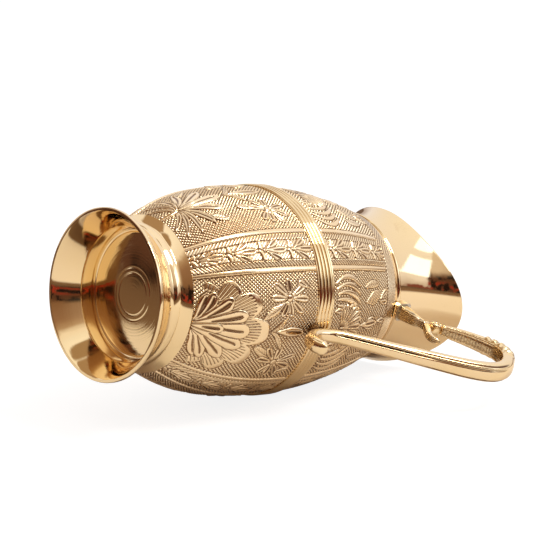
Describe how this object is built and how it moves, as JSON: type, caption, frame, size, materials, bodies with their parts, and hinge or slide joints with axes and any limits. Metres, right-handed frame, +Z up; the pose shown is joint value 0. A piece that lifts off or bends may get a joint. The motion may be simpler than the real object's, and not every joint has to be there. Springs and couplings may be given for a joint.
{
  "type": "jug",
  "caption": "Free-standing embossed brass water jug with a spun foot, a beaded waist band, a flared pouring mouth and a loop handle.",
  "frame": {"origin": "centre of the foot's rest ring, on the surface the jug stands on", "axes": "+Z up along the axis of the body, +X towards the handle, the spout at -X"},
  "size_m": [0.1901, 0.1192, 0.238],
  "materials": {
    "polished_brass": "mirror polished, fine turning marks",
    "turned_brass": "polished with concentric turning marks",
    "embossed_brass": "pressed relief, satin polish, a little darker in the cuts",
    "mouth_brass": "mirror polished",
    "handle_brass": "cast and polished, dark in the groove",
    "solder": "dull silvery solder"
  },
  "bodies": {
    "root": {"foot_skirt": "polished_brass", "foot_collar": "polished_brass", "base_disc": "turned_brass", "lower_body": "embossed_brass", "waist_band": "polished_brass", "upper_body": "embossed_brass", "neck_ring": "polished_brass", "mouth": "mouth_brass", "handle": "handle_brass", "handle_lug": "handle_brass", "upper_solder": "solder", "lower_solder": "handle_brass"}
  },
  "joints": []
}
